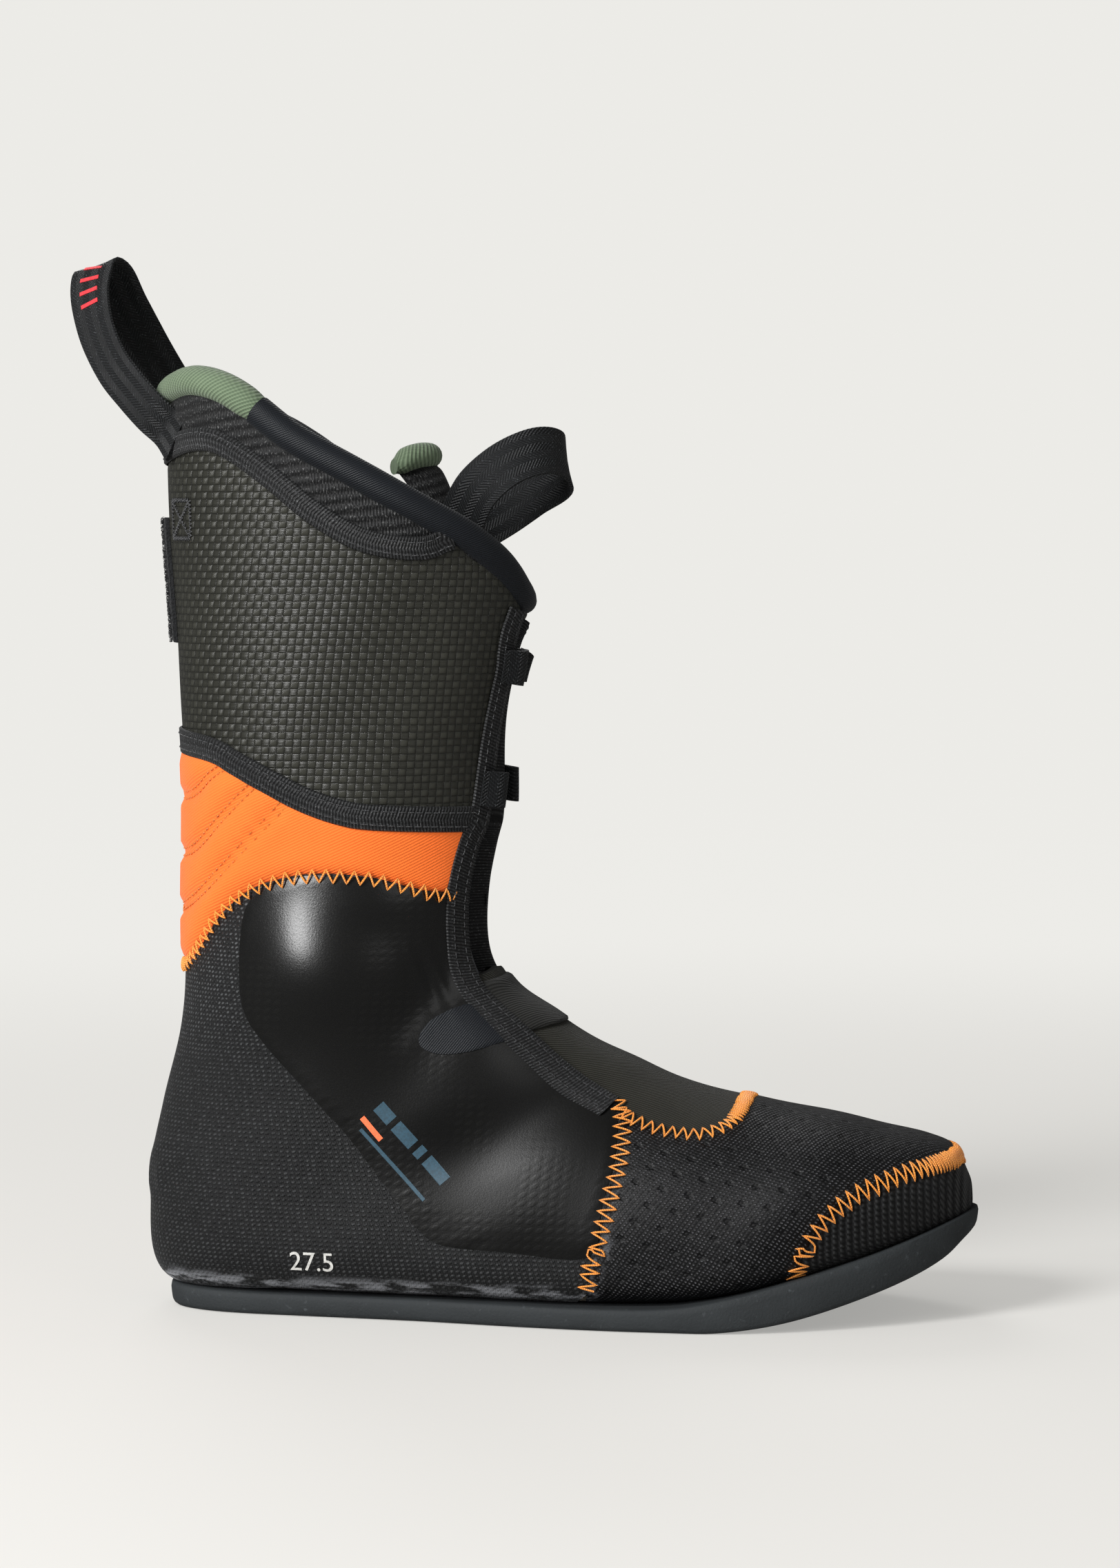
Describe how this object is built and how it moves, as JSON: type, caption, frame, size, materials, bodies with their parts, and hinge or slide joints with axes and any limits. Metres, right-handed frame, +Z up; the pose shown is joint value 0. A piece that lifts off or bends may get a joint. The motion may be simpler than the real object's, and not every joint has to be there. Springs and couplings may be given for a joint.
{
  "type": "ski boot liner",
  "caption": "Tall foam and fabric inner liner of a touring ski boot, with a tongue, a flexing ankle zone, a flat sole and webbing pull loops.",
  "frame": {"origin": "a point on the flat underside of the outsole, on the liner's middle plane, 90 mm in front of the back of the heel, roughly under the arch", "axes": "+X towards the toe, +Z up the leg, +Y towards the inner (big toe) side of this right foot"},
  "size_m": [0.3202, 0.1152, 0.3689],
  "materials": {
    "sole_foam": "matt moulded foam",
    "board": "pressed fibre board",
    "lining_cloth": "brushed heather knit",
    "heel_knit": "thermoformed knit with a fine sheen",
    "toe_mesh": "thick woven mesh over foam",
    "stretch_weave": "elastic twill weave",
    "gloss_film": "heat-bonded film with fine dimples",
    "dull_knit": "ribbed knit",
    "pad_foam": "soft foam",
    "grosgrain": "ribbed edging tape",
    "webbing": "herringbone webbing",
    "orange_neoprene": "smooth neoprene jersey",
    "checker_weave": "satin embossed basket weave",
    "green_twill": "diagonal twill",
    "navy_twill": "smooth stretch binding",
    "hook_and_loop": "hook-and-loop pile"
  },
  "bodies": {
    "foot": {"outsole": "sole_foam", "lasting_board": "board", "footbed": "lining_cloth", "foot_shell": "heel_knit", "toe_box": "toe_mesh", "toe_bumper": "toe_mesh", "instep_panel": "stretch_weave", "instep_strap": "stretch_weave", "ankle_film_lateral": "gloss_film", "ankle_film_medial": "gloss_film", "ankle_tab_lateral": "dull_knit", "ankle_tab_medial": "dull_knit", "ankle_pad_lateral": "pad_foam", "ankle_pad_medial": "pad_foam", "throat_tape_foot_lateral": "grosgrain", "throat_tape_foot_medial": "grosgrain", "heel_lining": "lining_cloth", "tongue_instep_pad": "pad_foam", "flex_zone": "orange_neoprene"},
    "cuff": {"cuff_shell": "checker_weave", "collar_mesh": "dull_knit", "cuff_top_tape": "grosgrain", "cuff_hem_tape": "grosgrain", "throat_tape_cuff_lateral": "grosgrain", "throat_tape_cuff_medial": "grosgrain", "collar_binding_lateral": "navy_twill", "collar_binding_medial": "navy_twill", "lace_loop_upper_lateral": "webbing", "lace_loop_upper_medial": "webbing", "lace_loop_lower_lateral": "webbing", "lace_loop_lower_medial": "webbing", "collar_pad": "green_twill", "cuff_lining": "lining_cloth", "strap_patch": "hook_and_loop", "tongue_flex_panel": "stretch_weave"},
    "tongue": {"tongue_shin_pad": "dull_knit", "tongue_top_binding": "green_twill"},
    "rear_loop": {"rear_pull_loop": "webbing"},
    "front_loop": {"tongue_pull_loop": "webbing"}
  },
  "joints": [
    {"name": "ankle_flex", "type": "hinge", "parent": "foot", "child": "cuff", "pos_m": [-0.018, 0, 0.098], "axis": [0, 1, 0], "range_deg": [-8, 12], "stiffness_Nm_per_rad": 5, "deforming": ["flex_zone", "tongue_flex_panel"]},
    {"name": "tongue_open", "type": "hinge", "parent": "cuff", "child": "tongue", "pos_m": [0.0265, 0, 0.1705], "axis": [0, 1, 0], "range_deg": [0, 28], "stiffness_Nm_per_rad": 0.8},
    {"name": "rear_loop_fold", "type": "hinge", "parent": "cuff", "child": "rear_loop", "pos_m": [-0.091, 0, 0.307], "axis": [0, -1, 0], "range_deg": [0, 75], "stiffness_Nm_per_rad": 0.03},
    {"name": "front_loop_fold", "type": "hinge", "parent": "tongue", "child": "front_loop", "pos_m": [0.0235, 0, 0.2725], "axis": [0, 1, 0], "range_deg": [-20, 45], "stiffness_Nm_per_rad": 0.03}
  ]
}
